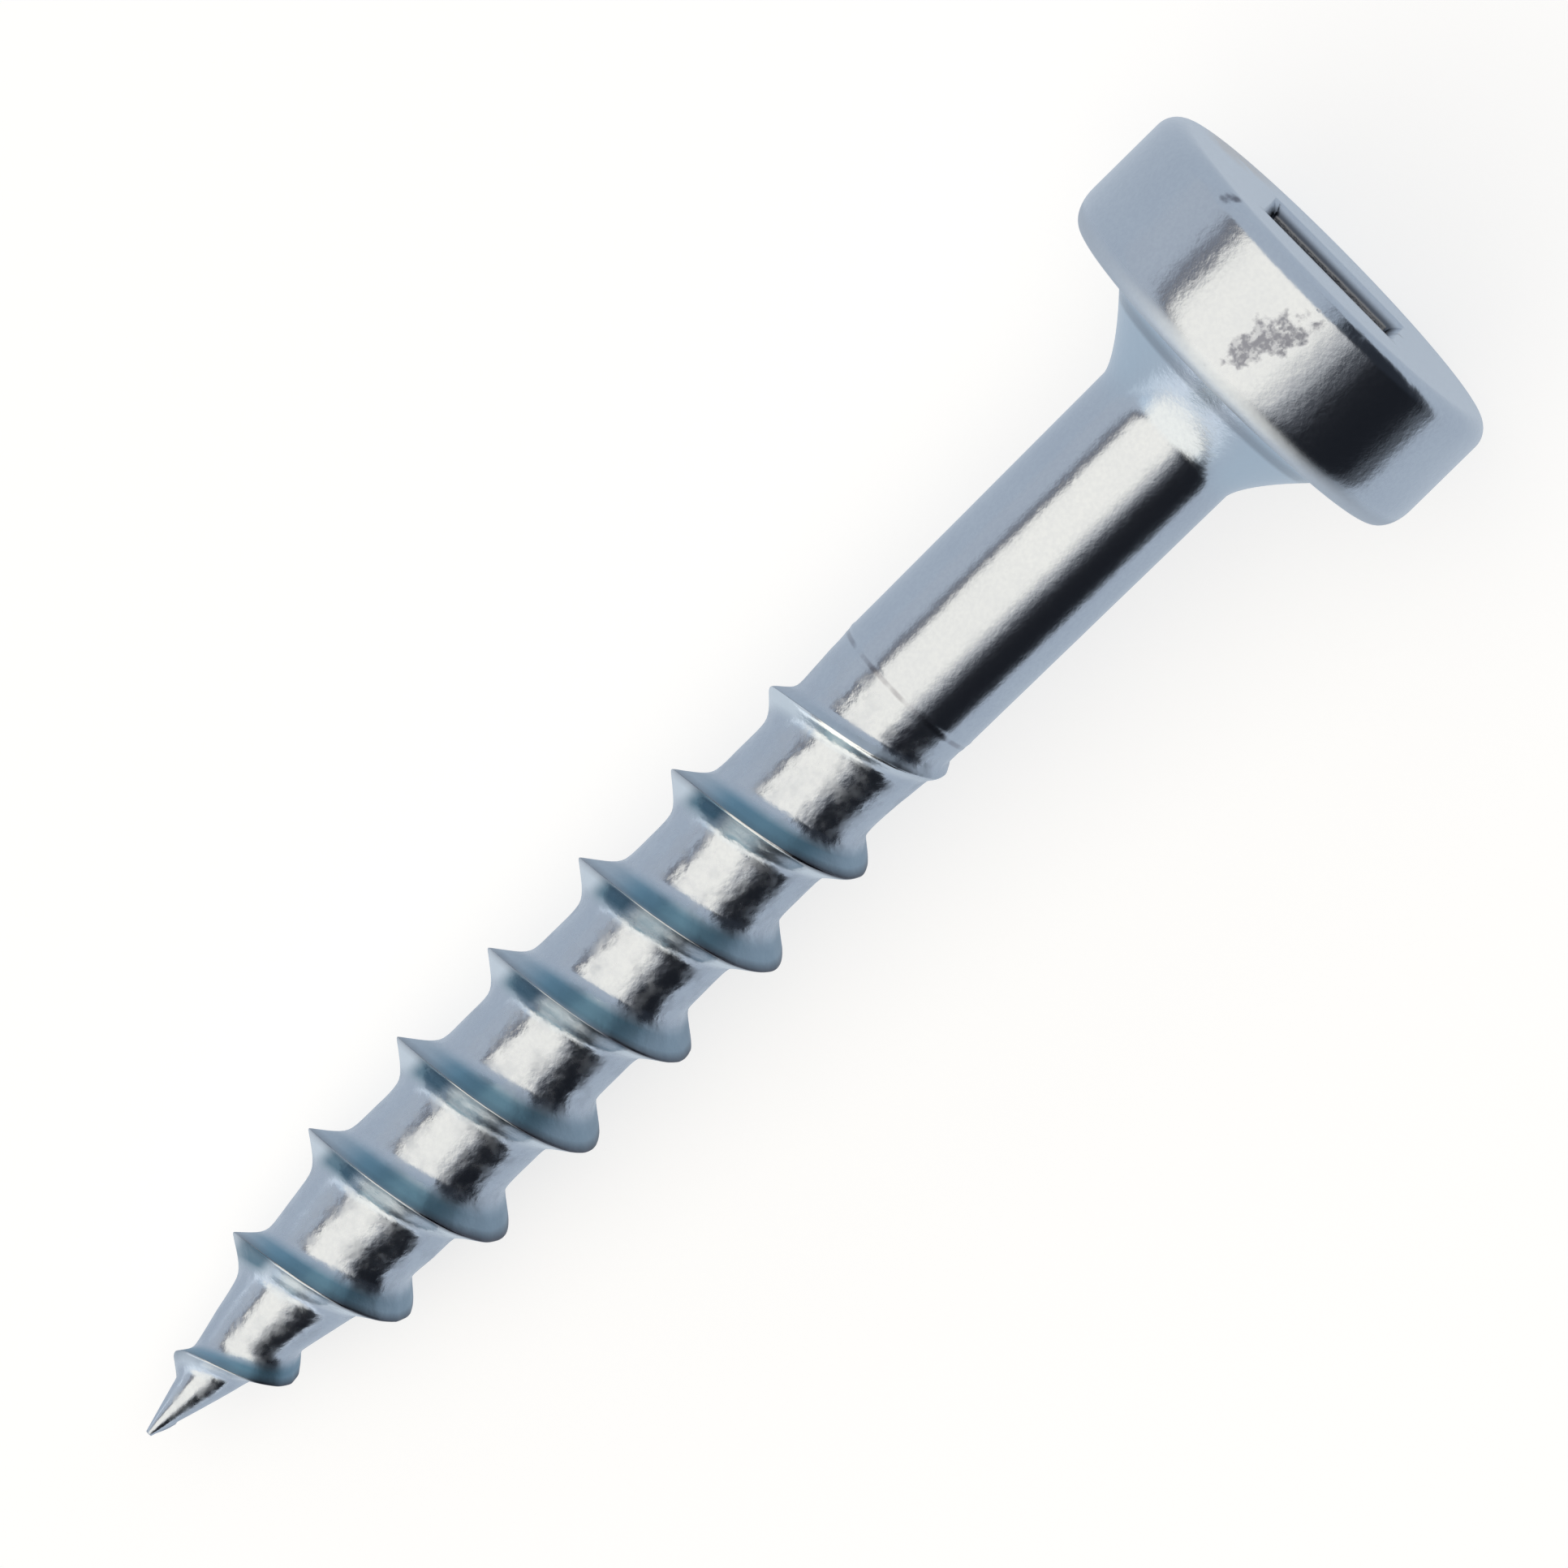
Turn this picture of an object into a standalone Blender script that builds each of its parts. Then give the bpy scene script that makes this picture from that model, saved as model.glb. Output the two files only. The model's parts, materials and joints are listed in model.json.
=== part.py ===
"""Pocket hole screw: one turned and thread-rolled piece, lying as it comes to rest on a table.

The screw is modelled in its own frame: Z runs along its axis, the head's flat top is at z = 0 and the
point is towards -Z. A depth is a distance below the head's top. Local +X is the side that faces the
floor, and the first column of vertices runs along it. The finished object is then tilted until its
head and its thread both touch z = 0.
"""

import math

import bmesh
import bpy
import numpy as np

MM = 0.001
KEY_DIGITS = 4

# Whole screw
OVERALL_LENGTH = 31.75 * MM
SIDES = 72

# Head: a thick flat disc with rounded edges and a flat underside that clamps the wood
HEAD_DIAMETER = 8.5 * MM
HEAD_HEIGHT = 2.85 * MM
TOP_EDGE_RADIUS = 0.45 * MM
UNDER_EDGE_WIDTH = 0.42 * MM
UNDER_EDGE_HEIGHT = 0.68 * MM
EDGE_STEPS = 4

# Square drive recess in the head's top
RECESS_WIDTH = 3.1 * MM
RECESS_WALL_DEPTH = 2.5 * MM
RECESS_POINT_DEPTH = 0.7 * MM
RECESS_CHAMFER = 0.2 * MM
RECESS_DRAFT = math.radians(1.5)
CUT_CLEARANCE = 0.5 * MM

# Flared neck under the head, and the plain shank
NECK_TOP_DIAMETER = 5.7 * MM
NECK_LENGTH = 1.6 * MM
NECK_CURVE = 1.35
NECK_STEPS = 6
SHANK_DIAMETER = 3.28 * MM
SHANK_END_DIAMETER = 3.16 * MM
SHANK_LENGTH = 6.85 * MM
SHANK_STEP_LENGTH = 0.15 * MM
NECKED_DIAMETER = 3.12 * MM

# Coarse right-hand thread
THREAD_DIAMETER = 4.22 * MM
ROOT_DIAMETER = 2.84 * MM
PITCH = 2.45 * MM
FLANK_HALF_ANGLE = math.radians(35.5)
ROOT_BLEND = 0.13 * MM
CREST_START_ANGLE = math.radians(-18.0)

# Run-in: over the first turns the ridge grows out of the shank's end
CREST_RUN_IN_LENGTH = 4.6 * MM
CREST_RUN_IN_CURVE = 0.4
ROOT_RUN_IN_LENGTH = 2.4 * MM

# Gimlet point: root and crest are drawn in along two bulged tapers
POINT_ROOT_LENGTH = 6.4 * MM
POINT_ROOT_CURVE = 1.4
POINT_CREST_LENGTH = 7.4 * MM
POINT_CREST_CURVE = 2.0
POINT_END_DIAMETER = 0.14 * MM

# Where the rows of the thread's surface lie: shares of the flank's foot, and of the land beyond it
FLANK_ROW_SHARE = 0.65
LAND_ROW_SHARE = 0.35
LARGEST_FOOT_SHARE = 0.8
LARGEST_BLEND_SHARE = 0.25

# Finish
ZINC_COLOUR = (0.56, 0.61, 0.67, 1.0)
ZINC_ROUGHNESS = 0.24
SMOOTH_ANGLE = math.radians(32.0)

# Values worked out from those above
HEAD_RADIUS = HEAD_DIAMETER / 2
NECK_END = HEAD_HEIGHT + NECK_LENGTH
SHANK_END = NECK_END + SHANK_LENGTH
THREAD_START = SHANK_END + SHANK_STEP_LENGTH
FIRST_CREST_DEPTH = THREAD_START + PITCH * CREST_START_ANGLE / math.tau
SMALLEST_ROW_STEP = PITCH / SIDES / 2
LARGEST_TILT = math.radians(30.0)
TILT_STEPS = 50


def clear_scene():
    """Remove what a new file holds."""
    for existing in list(bpy.data.objects):
        bpy.data.objects.remove(existing)


def zinc_material():
    """Bright zinc plating: a cool, slightly bluish metal."""
    material = bpy.data.materials.new("bright_zinc")
    material.use_nodes = True
    shader = material.node_tree.nodes["Principled BSDF"]
    shader.inputs["Base Color"].default_value = ZINC_COLOUR
    shader.inputs["Metallic"].default_value = 1.0
    shader.inputs["Roughness"].default_value = ZINC_ROUGHNESS
    material.diffuse_color = ZINC_COLOUR
    return material


def head_outline():
    """Depth and radius of the head, from the edge of its flat top to its flat underside."""
    points = []
    for step in range(EDGE_STEPS + 1):
        turn = step / EDGE_STEPS * math.pi / 2
        depth = TOP_EDGE_RADIUS * (1 - math.cos(turn))
        radius = HEAD_RADIUS - TOP_EDGE_RADIUS * (1 - math.sin(turn))
        points.append((depth, radius))
    for step in range(EDGE_STEPS + 1):
        turn = step / EDGE_STEPS * math.pi / 2
        depth = HEAD_HEIGHT - UNDER_EDGE_HEIGHT * (1 - math.sin(turn))
        radius = HEAD_RADIUS - UNDER_EDGE_WIDTH * (1 - math.cos(turn))
        points.append((depth, radius))
    return points


def neck_outline():
    """Depth and radius of the neck, which flares from the shank up to the head's underside."""
    points = []
    for step in range(NECK_STEPS + 1):
        height = 1 - step / NECK_STEPS
        flare = (NECK_TOP_DIAMETER - SHANK_DIAMETER) / 2 * height ** NECK_CURVE
        points.append((NECK_END - NECK_LENGTH * height, SHANK_DIAMETER / 2 + flare))
    return points


def turned_outline():
    """Outline of everything above the thread, from the head's top to the necked shank end."""
    shank_end = (SHANK_END, SHANK_END_DIAMETER / 2)
    necked_end = (THREAD_START, NECKED_DIAMETER / 2)
    return head_outline() + neck_outline() + [shank_end, necked_end]


def drawn_in(radius, depth, length, curve):
    """Draw a radius in to the point along a bulged taper of the given length."""
    share = (OVERALL_LENGTH - depth) / length
    if share >= 1:
        return radius
    end = POINT_END_DIAMETER / 2
    return end + (radius - end) * (1 - (1 - share) ** curve)


def root_radius(depth):
    """Radius between the thread's ridges."""
    share = min((depth - THREAD_START) / ROOT_RUN_IN_LENGTH, 1.0)
    eased = share * share * (3 - 2 * share)
    straight = NECKED_DIAMETER / 2 + (ROOT_DIAMETER - NECKED_DIAMETER) / 2 * eased
    return drawn_in(straight, depth, POINT_ROOT_LENGTH, POINT_ROOT_CURVE)


def crest_radius(depth):
    """Radius of the sharp crest."""
    return drawn_in(THREAD_DIAMETER / 2, depth, POINT_CREST_LENGTH, POINT_CREST_CURVE)


def grown_radius(depth):
    """Radius that the crest has reached on the first turns, where it grows out of the shank."""
    share = min((depth - THREAD_START) / CREST_RUN_IN_LENGTH, 1.0)
    growth = (THREAD_DIAMETER - NECKED_DIAMETER) / 2
    return NECKED_DIAMETER / 2 + growth * share ** CREST_RUN_IN_CURVE


def thread_radius(depth, offset):
    """Radius of the threaded surface at an axial offset from the nearest crest.

    The flanks are straight at the crest and run out into the root in a hollow curve.
    """
    root = root_radius(depth)
    height = min(crest_radius(depth), grown_radius(depth)) - root
    if height <= 0:
        return root
    blend = min(ROOT_BLEND, LARGEST_BLEND_SHARE * height)
    flank = height - abs(offset) / math.tan(FLANK_HALF_ANGLE)
    return root + blend * math.log1p(math.exp(flank / blend))


def row_offsets():
    """Axial offsets of the surface rows from a crest, over one pitch towards the point."""
    half = PITCH / 2
    height = (THREAD_DIAMETER - ROOT_DIAMETER) / 2
    foot = min(height * math.tan(FLANK_HALF_ANGLE), LARGEST_FOOT_SHARE * half)
    one_side = [FLANK_ROW_SHARE * foot, foot, foot + LAND_ROW_SHARE * (half - foot)]
    other_side = [-offset for offset in reversed(one_side)]
    return [0.0] + one_side + [half] + other_side


class SurfaceGrid:
    """Vertices of the screw's skin, one for each column and place, shared by turned and threaded parts."""

    def __init__(self):
        self.mesh = bmesh.new()
        self.vertices = {}

    def vertex(self, column, depth, radius):
        """Return the vertex of a column at a depth and radius, made on first use."""
        key = (column, round(depth / MM, KEY_DIGITS), round(radius / MM, KEY_DIGITS))
        if key not in self.vertices:
            angle = column * math.tau / SIDES
            place = (radius * math.cos(angle), radius * math.sin(angle), -depth)
            self.vertices[key] = self.mesh.verts.new(place)
        return self.vertices[key]

    def ring(self, depth, radius):
        """Return one full ring of vertices."""
        return [self.vertex(column, depth, radius) for column in range(SIDES)]

    def face(self, corners):
        """Add a face between its different corners, or none where they fall together."""
        different = list(dict.fromkeys(corners))
        if len(different) > 2:
            self.mesh.faces.new(different)


def add_turned_part(grid):
    """Spin the head, neck and shank, and close the head's flat top."""
    rings = []
    for depth, radius in turned_outline():
        rings.append(grid.ring(depth, radius))
    for upper, lower in zip(rings, rings[1:]):
        for column in range(SIDES):
            following = (column + 1) % SIDES
            grid.face([upper[column], lower[column], lower[following], upper[following]])
    grid.face(rings[0])


def add_threaded_part(grid):
    """Wind the threaded surface as rows that follow the helix, from the shank's end to the point."""
    offsets = row_offsets()
    rows_per_turn = len(offsets)
    turns = math.ceil((OVERALL_LENGTH - FIRST_CREST_DEPTH) / PITCH) + 1

    def helix_vertex(row, column):
        if column == SIDES:
            return helix_vertex(row - rows_per_turn, 0)
        turn, station = divmod(row, rows_per_turn)
        offset = offsets[station]
        along = turn * PITCH + offset % PITCH
        depth = FIRST_CREST_DEPTH + along - PITCH * column / SIDES
        if depth < THREAD_START + SMALLEST_ROW_STEP:
            return grid.vertex(column, THREAD_START, NECKED_DIAMETER / 2)
        if depth > OVERALL_LENGTH - SMALLEST_ROW_STEP:
            return grid.vertex(column, OVERALL_LENGTH, POINT_END_DIAMETER / 2)
        return grid.vertex(column, depth, thread_radius(depth, offset))

    for row in range(-rows_per_turn, turns * rows_per_turn):
        for column in range(SIDES):
            here = helix_vertex(row, column)
            below = helix_vertex(row + 1, column)
            below_next = helix_vertex(row + 1, column + 1)
            here_next = helix_vertex(row, column + 1)
            grid.face([here, below, below_next, here_next])
    grid.face(grid.ring(OVERALL_LENGTH, POINT_END_DIAMETER / 2))


def screw_mesh():
    """Build the closed skin of the whole screw, without its drive recess."""
    grid = SurfaceGrid()
    add_turned_part(grid)
    add_threaded_part(grid)
    bmesh.ops.recalc_face_normals(grid.mesh, faces=grid.mesh.faces)
    mesh = bpy.data.meshes.new("pocket_screw")
    grid.mesh.to_mesh(mesh)
    grid.mesh.free()
    mesh.shade_smooth()
    mesh.set_sharp_from_angle(angle=SMOOTH_ANGLE)
    return mesh


def recess_cutter():
    """Build the tapered square punch that cuts the drive recess, with a pyramid at its end."""
    half = RECESS_WIDTH / 2
    levels = [
        (CUT_CLEARANCE, half + RECESS_CHAMFER + CUT_CLEARANCE),
        (-RECESS_CHAMFER, half),
        (-RECESS_WALL_DEPTH, half - (RECESS_WALL_DEPTH - RECESS_CHAMFER) * math.tan(RECESS_DRAFT)),
    ]
    shape = bmesh.new()
    squares = []
    for height, reach in levels:
        corners = [(reach, reach), (-reach, reach), (-reach, -reach), (reach, -reach)]
        squares.append([shape.verts.new((x, y, height)) for x, y in corners])
    for upper, lower in zip(squares, squares[1:]):
        for side in range(4):
            following = (side + 1) % 4
            shape.faces.new([upper[side], lower[side], lower[following], upper[following]])
    shape.faces.new(squares[0])
    apex = shape.verts.new((0, 0, -RECESS_WALL_DEPTH - RECESS_POINT_DEPTH))
    for side in range(4):
        shape.faces.new([squares[-1][side], apex, squares[-1][(side + 1) % 4]])
    bmesh.ops.recalc_face_normals(shape, faces=shape.faces)
    mesh = bpy.data.meshes.new("recess_cutter")
    shape.to_mesh(mesh)
    shape.free()
    cutter = bpy.data.objects.new("recess_cutter", mesh)
    bpy.context.scene.collection.objects.link(cutter)
    cutter.hide_render = True
    cutter.display_type = "WIRE"
    return cutter


def lowest_point(points, tilt):
    """Height of the lowest of some local points when the axis is tilted up at the head."""
    heights = points[:, 2] * math.sin(tilt) - points[:, 0] * math.cos(tilt)
    return heights.min()


def rest_tilt(points):
    """Tilt at which the head's edge and the thread touch a flat floor together.

    The screw's weight lies between the two, so it rests there. The thread's end sinks as the tilt
    grows, so the tilt is found by halving the range in which the two heights cross.
    """
    in_head = points[:, 2] > -NECK_END
    head = points[in_head]
    thread = points[~in_head]
    low = 0.0
    high = LARGEST_TILT
    for _ in range(TILT_STEPS):
        middle = (low + high) / 2
        if lowest_point(thread, middle) > lowest_point(head, middle):
            low = middle
        else:
            high = middle
    return (low + high) / 2


def lay_down(screw, cutter):
    """Turn the axis over until the screw rests on z = 0, with the head towards +X, centred on the origin."""
    count = len(screw.data.vertices)
    flat = np.empty(count * 3)
    screw.data.vertices.foreach_get("co", flat)
    points = flat.reshape(count, 3)
    tilt = rest_tilt(points)
    across = points[:, 0] * math.sin(tilt) + points[:, 2] * math.cos(tilt)
    screw.rotation_euler = (0, math.pi / 2 - tilt, 0)
    screw.location = (-(across.min() + across.max()) / 2, 0, -lowest_point(points, tilt))
    cutter.parent = screw


def build():
    """Make the screw."""
    clear_scene()
    screw = bpy.data.objects.new("pocket_screw", screw_mesh())
    bpy.context.scene.collection.objects.link(screw)
    screw.data.materials.append(zinc_material())
    cutter = recess_cutter()
    cut = screw.modifiers.new("drive_recess", "BOOLEAN")
    cut.operation = "DIFFERENCE"
    cut.solver = "EXACT"
    cut.object = cutter
    lay_down(screw, cutter)


build()
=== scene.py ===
"""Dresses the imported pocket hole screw: a finer skin of the same form, a zinc finish, light and a camera.

The skin is made in the screw's own frame and in millimetres: Z runs along its axis, the head's flat top is
at z = 0 and the point is towards -Z. A depth is a distance below the head's top. An angle is measured about
the axis from the side that faces the floor, towards world +Y.
"""

import json
import math

import bmesh
import bpy
import numpy as np
from mathutils import Matrix, Vector, noise


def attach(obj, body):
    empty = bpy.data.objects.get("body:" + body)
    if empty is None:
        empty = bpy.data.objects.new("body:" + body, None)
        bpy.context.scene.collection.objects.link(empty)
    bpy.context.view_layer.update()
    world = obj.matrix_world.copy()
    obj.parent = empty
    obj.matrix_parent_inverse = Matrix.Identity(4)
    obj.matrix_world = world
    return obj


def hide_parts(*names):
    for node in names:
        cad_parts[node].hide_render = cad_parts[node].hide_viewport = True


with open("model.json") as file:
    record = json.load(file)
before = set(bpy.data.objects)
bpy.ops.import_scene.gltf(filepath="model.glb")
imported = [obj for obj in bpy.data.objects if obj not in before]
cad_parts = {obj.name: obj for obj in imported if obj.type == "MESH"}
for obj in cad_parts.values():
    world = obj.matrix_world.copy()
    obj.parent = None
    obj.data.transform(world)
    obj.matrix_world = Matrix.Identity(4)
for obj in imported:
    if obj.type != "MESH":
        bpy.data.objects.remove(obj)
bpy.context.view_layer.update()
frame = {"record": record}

MM = 0.001

# Form of the screw in millimetres, as in the part's source
OVERALL_LENGTH = 31.75
HEAD_RADIUS = 4.25
HEAD_HEIGHT = 2.85
TOP_EDGE_RADIUS = 0.45
UNDER_EDGE_WIDTH = 0.42
UNDER_EDGE_HEIGHT = 0.68
RECESS_WIDTH = 3.1
RECESS_WALL_DEPTH = 2.5
RECESS_POINT_DEPTH = 0.7
RECESS_CHAMFER = 0.2
RECESS_DRAFT = math.radians(1.5)
NECK_TOP_RADIUS = 2.85
NECK_LENGTH = 1.6
NECK_CURVE = 1.35
SHANK_RADIUS = 1.64
SHANK_END_RADIUS = 1.58
SHANK_LENGTH = 6.85
SHANK_STEP_LENGTH = 0.15
NECKED_RADIUS = 1.56
THREAD_RADIUS = 2.11
ROOT_RADIUS = 1.42
PITCH = 2.45
FLANK_HALF_ANGLE = math.radians(35.5)
ROOT_BLEND = 0.13
CREST_START_ANGLE = math.radians(-18.0)
CREST_RUN_IN_LENGTH = 4.6
CREST_RUN_IN_CURVE = 0.4
ROOT_RUN_IN_LENGTH = 2.4
POINT_ROOT_LENGTH = 6.4
POINT_ROOT_CURVE = 1.4
POINT_CREST_LENGTH = 7.4
POINT_CREST_CURVE = 2.0
POINT_END_RADIUS = 0.07
LARGEST_BLEND_SHARE = 0.25

NECK_END = HEAD_HEIGHT + NECK_LENGTH
SHANK_END = NECK_END + SHANK_LENGTH
THREAD_START = SHANK_END + SHANK_STEP_LENGTH
FIRST_CREST_DEPTH = THREAD_START + PITCH * CREST_START_ANGLE / math.tau

# Where the record's mount lies on the head's underside, about the axis
MOUNT_RADIUS = 3.55
MOUNT_ANGLE = math.radians(92.5)

# The skin lies this far inside the solid, so that it stays inside the solid's box
SKIN_INSET = 0.004

# Fineness of the skin
SIDES = 216
TOP_EDGE_STEPS = 10
HEAD_SIDE_STEPS = 12
UNDER_EDGE_STEPS = 12
UNDERSIDE_STEPS = 4
NECK_STEPS = 16
SHANK_STEPS = 28
HEAD_TOP_STEPS = 7
RECESS_WALL_STEPS = 8
RECESS_POINT_STEPS = 6
FLANK_ROWS = 11
FLANK_ROW_GROWTH = 1.5
LAND_ROWS = 5
SMALLEST_ROW_STEP = PITCH / SIDES / 2

# Rounding of the sharp crests: half width of the blunt edge, and what is added where the ridge grows
CREST_ROUND = 0.018
FIRST_CREST_ROUND = 0.07

# Rounded edges of the recess's chamfer: depth, distance outside the top of the wall, and corner radius
RECESS_CORNER = 0.1
RECESS_EDGES = [
    (0.0, RECESS_CHAMFER, 0.14),
    (0.008, RECESS_CHAMFER - 0.02, 0.14),
    (0.03, RECESS_CHAMFER - 0.045, 0.13),
    (RECESS_CHAMFER - 0.04, 0.03, 0.11),
    (RECESS_CHAMFER, 0.006, RECESS_CORNER),
    (RECESS_CHAMFER + 0.05, -0.001, RECESS_CORNER),
]

# Faint bead and groove where the shank ends: distance before the end, and rise above the shank
SHANK_END_BEAD = [
    (0.17, 0.000),
    (0.13, 0.012),
    (0.10, 0.018),
    (0.07, 0.014),
    (0.04, 0.000),
    (0.00, -0.012),
    (-0.03, -0.018),
    (-0.06, -0.020),
    (-0.10, -0.020),
]
BEAD_UNEVENNESS = 0.7
BEAD_NOISE_RADIUS = 2.5
BEAD_NOISE_HEIGHT = 4.2

# Small unevenness of the real piece
CREST_WEAR = 0.05
FINE_WEAR_SHARE = 0.5
LARGEST_WEAR_SHARE = 0.2
CREST_WOBBLE = 0.025
ROOT_WAVES = 0.007
ROOT_RIPPLE_SHARE = 0.4
CALM_POINT_LENGTH = 3.0
SKIN_WAVES = 0.0015

# Noise along the crest: steps in a turn, and seed
WEAR_NOISE = (5.0, 3.1)
FINE_WEAR_NOISE = (17.0, 7.7)
WOBBLE_NOISE = (3.0, 11.3)

# Noise of the waves: waves in a millimetre, and how far they press inwards on the whole
ROOT_WAVE_SCALE = 1.7
ROOT_RIPPLE_SCALE = 4.5
SKIN_WAVE_SCALE = 1.4
MEAN_PRESS = 0.6

# The skin's places this close to the axis aren't waved, and dents reach only places beyond this radius
NEAR_AXIS = 0.02
DENTED_RADIUS = 3.5

# Small dents in the head's edges: middle in the screw's own frame, size and depth
DENTS = [
    ((-3.47, 2.37, -0.14), 0.13, 0.07),
    ((-3.05, 2.93, -0.10), 0.10, 0.03),
    ((-3.95, -1.20, -0.08), 0.12, 0.025),
    ((-3.30, -2.60, -0.09), 0.11, 0.03),
    ((-4.20, 0.55, -2.60), 0.14, 0.02),
]

# Tint, painted shade and painted highlight of the thread's flanks, by shares of the ridge's height, and width
# of the painted dark reflection beside its crest
TINTED_HEIGHT = 0.45
SMALLEST_HEIGHT = 0.05
FLANK_FOOT_SHARE = 0.1
FLANK_RISE_SHARE = 0.3
FLANK_TOP_SHARE = 0.12
FLANK_TOP_TINT = 0.4
CREST_LINE_WIDTH = 0.14

# Each pair of limits below says where a mask is 0 and where it is 1: across the screw (x, y), along it (z),
# away from its axis (radius) or in the value of a noise. A noise is given by scale, detail and roughness.

# Plain zinc: its two broad tones, and fine mottles
ZINC_TONES = ((0.53, 0.575, 0.64), (0.59, 0.635, 0.69))
BROAD_NOISE = (0.9, 2.0, 0.5)
FINE_NOISE = (11.0, 3.0, 0.65)
MOTTLE_COLOUR = (0.48, 0.52, 0.60)
MOTTLE_NOISE_LIMITS = (0.35, 0.65)
MOTTLE_SHARE = 0.25

# Thread: a teal tint towards the head, partly real and partly painted shade, that fades towards both sides; a
# painted highlight towards the point with one stretch of painted shade; and a painted dark reflection along
# the edge
TEAL_TINT_AND_SHADE = (0.19, 0.34, 0.44)
TEAL_LEFT_Y = (0.7, 1.6)
TEAL_LEFT_LOSS = 0.7
TEAL_RIGHT_Y = (-0.7, -1.5)
TEAL_RIGHT_LOSS = 0.45
RIDGE_GROWN_Z = (-12.9, -14.3)
FIRST_RIDGE_TEAL = 0.25
FLANK_PAINTED_HIGHLIGHT = (0.84, 0.88, 0.90)
SHADED_FLANK = (0.13, 0.24, 0.30)
SHADED_FROM_Y = (0.55, 0.85)
SHADED_TO_Y = (1.6, 1.25)
CREST_PAINTED_REFLECTION = (0.09, 0.09, 0.11)
CREST_DARKER_Y = (-0.3, -0.9)
CREST_LEAST = 0.4

# Neck: a bluer painted reflection at its sides
NECK_SIDE_REFLECTION = (0.56, 0.66, 0.74)
NECK_SHARE = 0.7
NECK_TOP_Z = (-2.80, -2.88)
NECK_END_Z = (-4.9, -3.9)
NECK_SIDE_Y = (0.4, 1.5)

# Fine broken line of painted shade in the groove at the shank's end
GROOVE_SHADE_COLOUR = (0.30, 0.31, 0.35)
LINE_SHARE = 0.7
LINE_DEPTH = SHANK_END + 0.04
LINE_WIDTH = (0.07, 0.02)
LINE_NOISE = (2.4, 2.0, 0.5)
LINE_NOISE_LIMITS = (0.22, 0.62)

# Rounded edge under the head: duller, and paler as a painted highlight
UNDER_EDGE_PAINTED_HIGHLIGHT = (0.80, 0.85, 0.90)
UNDER_EDGE_SHARE = 0.25
UNDER_EDGE_RADIUS = (2.9, 3.2)
UNDER_EDGE_Z = (-2.35, -2.62)

# Flaky dull patch on the head's side, where a dark reflection of the camera is painted: middle and direction
# across and along the screw, and half sizes
CAMERA_REFLECTION_COLOUR = (0.20, 0.21, 0.26)
CAMERA_REFLECTION_SHARE = 0.85
DULL_PLACE = (-0.09, -1.40)
DULL_DIRECTION = (0.931, -0.365)
DULL_SIZE = (0.95, 0.38)
DULL_FADING = 0.20
DULL_UPPER_X = (-3.4, -3.8)
FLAKE_NOISE = (3.4, 3.0, 0.55)
FLAKE_LIMITS = (0.25, 0.45)
SPECKLE_NOISE = (6.5, 3.0, 0.6)
SPECKLE_NOISE_LIMITS = (0.36, 0.60)
SPECKLE_LEAST = 0.35
DULL_SUNK = 0.004

# Faint warm stain on the head's top, by the rim and away from the camera
STAIN_COLOUR = (0.50, 0.41, 0.35)
STAIN_SHARE = 0.8
STAIN_X = (0.2, 1.4)
STAIN_FROM_Y = (1.5, 2.5)
STAIN_TO_Y = (3.7, 3.2)
STAIN_Z = (-0.5, -0.15)
STAIN_RADIUS = (2.5, 3.3)
STAIN_NOISE = (1.5, 2.0, 0.5)
STAIN_NOISE_LIMITS = (0.25, 0.5)

# Drive recess: painted shade on its walls and floor, darkest near its mouth
RECESS_SHADE_COLOUR = (0.12, 0.13, 0.15)
RECESS_RADIUS = (2.75, 2.55)
RECESS_MOUTH_Z = (-0.05, -0.19)
RECESS_FLOOR_Z = (-3.3, -3.2)
RECESS_DARKEST_Z = (-1.2, -0.4)
RECESS_LEAST = 0.4

# Dark spots of painted shade in a dent of the head's rim and on the edge of the recess: middle in the screw's
# own frame, and size
NICK_SHADE_SPOTS = [
    ((-3.47, 2.37, -0.14), 0.19),
    ((-3.36, 2.22, -0.05), 0.17),
    ((0.10, -1.66, -0.05), 0.24),
]
NICK_SHADE_COLOUR = (0.12, 0.12, 0.15)
NICK_SHARE = 0.8
NICK_NOISE = (7.0, 2.0, 0.5)
NICK_UNEVENNESS = 0.9
NICK_FULL_SHARE = 0.25

# Roughness: least, what the fine noise adds, and what each feature adds
LEAST_ROUGHNESS = 0.13
FINE_ROUGHNESS = 0.10
DULL_ROUGHNESS = 0.25
BLOTCH_ROUGHNESS = 0.20
UNDER_EDGE_ROUGHNESS = 0.30
HEAD_SIDE_ROUGHNESS = 0.24
BLOTCH_NOISE = (2.6, 2.0, 0.6)
BLOTCH_NOISE_LIMITS = (0.35, 0.75)

# Root: where the screw is threaded, and how much calmer the ridge's flanks are
THREADED_Z = (-SHANK_END, -THREAD_START - 0.4)
FLANK_CALM = 0.8

# Fine bumps in millimetres: noise, height all over, and added height on the root
BUMPS = [
    ((2.2, 1.0, 0.5), 0.007, 0.014),
    ((4.6, 1.0, 0.5), 0.0015, 0.006),
    ((10.0, 3.0, 0.6), 0.0035, 0.0015),
]

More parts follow.
